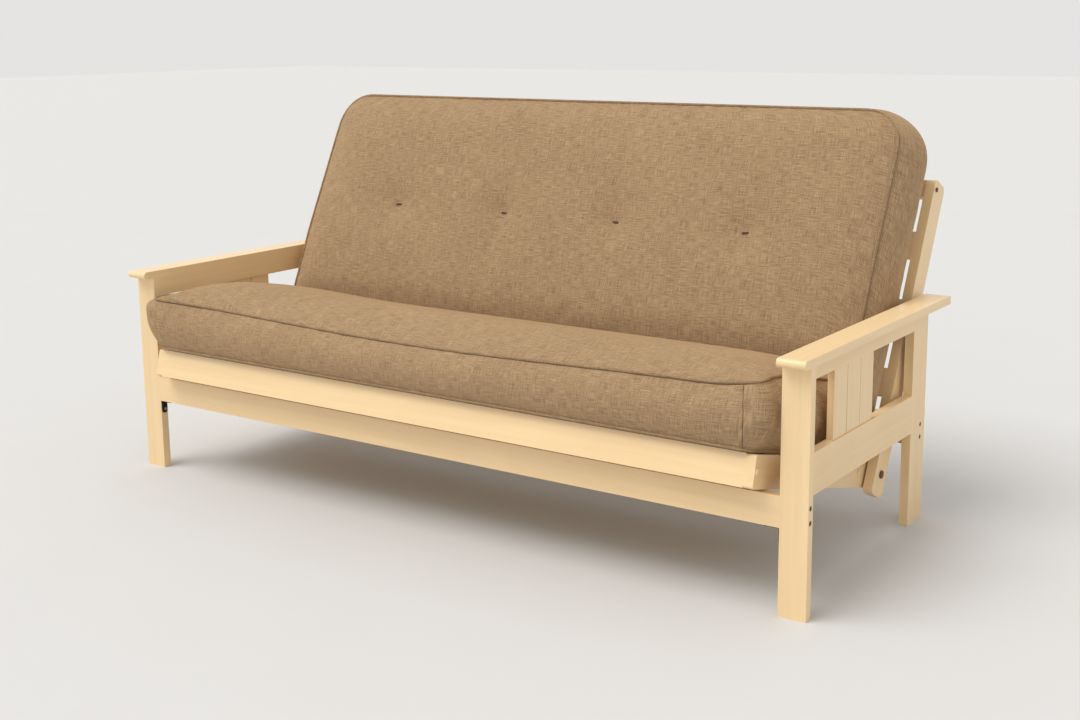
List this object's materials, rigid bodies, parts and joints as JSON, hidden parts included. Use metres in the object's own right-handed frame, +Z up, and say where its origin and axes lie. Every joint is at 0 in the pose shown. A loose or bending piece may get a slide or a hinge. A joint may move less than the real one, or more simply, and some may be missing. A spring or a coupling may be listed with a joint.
{
  "type": "futon sofa bed",
  "caption": "Wooden futon sofa bed with slatted arms and one thick mattress; the seat and back decks fold flat into a bed.",
  "frame": {"origin": "on the floor under the middle of the whole object", "axes": "+X across the seat towards the right arm as seen from the front, +Y to the rear, +Z up"},
  "size_m": [2.108, 1.0141, 1.0379],
  "materials": {
    "painted_wood": "satin",
    "dowel_wood": "matt",
    "mattress_cover": "matt",
    "dark_steel": "satin",
    "plain_steel": "satin",
    "nylon": "matt"
  },
  "bodies": {
    "frame": {"front_leg_left": "painted_wood", "front_leg_right": "painted_wood", "rear_leg_left": "painted_wood", "rear_leg_right": "painted_wood", "arm_top_left": "painted_wood", "arm_top_right": "painted_wood", "upper_rail_left": "painted_wood", "upper_rail_right": "painted_wood", "lower_rail_left": "painted_wood", "lower_rail_right": "painted_wood", "arm_slats_left": "painted_wood", "arm_slats_right": "painted_wood", "arm_dowels": "dowel_wood", "front_stretcher": "painted_wood", "rear_stretcher": "painted_wood", "stretcher_bolts": "dark_steel", "stretcher_barrel_nuts": "plain_steel", "corner_brackets": "dark_steel", "bracket_screws": "plain_steel"},
    "rollers": {"rollers": "nylon"},
    "back_deck": {"back_side_rail_left": "painted_wood", "back_side_rail_right": "painted_wood", "back_top_rail": "painted_wood", "back_board_1": "painted_wood", "back_board_2": "painted_wood", "back_board_3": "painted_wood", "back_brace": "painted_wood", "back_deck_bolts": "dark_steel", "back_barrel_nuts": "plain_steel", "pivot_bolts": "dark_steel", "pivot_washers": "plain_steel", "pivot_nuts": "plain_steel", "roller_pins": "plain_steel", "mattress_back": "mattress_cover"},
    "seat_deck": {"seat_side_rail_left": "painted_wood", "seat_side_rail_right": "painted_wood", "seat_front_rail": "painted_wood", "seat_rear_rail": "painted_wood", "seat_board_1": "painted_wood", "seat_board_2": "painted_wood", "seat_board_3": "painted_wood", "seat_board_4": "painted_wood", "seat_brace": "painted_wood", "seat_deck_bolts": "dark_steel", "seat_barrel_nuts": "plain_steel", "mattress_seat": "mattress_cover"}
  },
  "joints": [
    {"name": "track", "type": "hinge", "parent": "frame", "child": "rollers", "pos_m": [0, 0.01005, 0.00759], "axis": [1, 0, 0], "range_deg": [0, 56.13]},
    {"name": "recline", "type": "hinge", "parent": "rollers", "child": "back_deck", "pos_m": [0, 0.1949, 0.26241], "axis": [-1, 0, 0], "range_deg": [0, 119.83]},
    {"name": "fold", "type": "hinge", "parent": "back_deck", "child": "seat_deck", "pos_m": [0, 0.13455, 0.15837], "axis": [1, 0, 0], "range_deg": [0, 78.7]}
  ],
  "couplings": [
    {"joint": "track", "follows": "fold", "ratio": 0.71306},
    {"joint": "recline", "follows": "fold", "ratio": 1.5225}
  ]
}
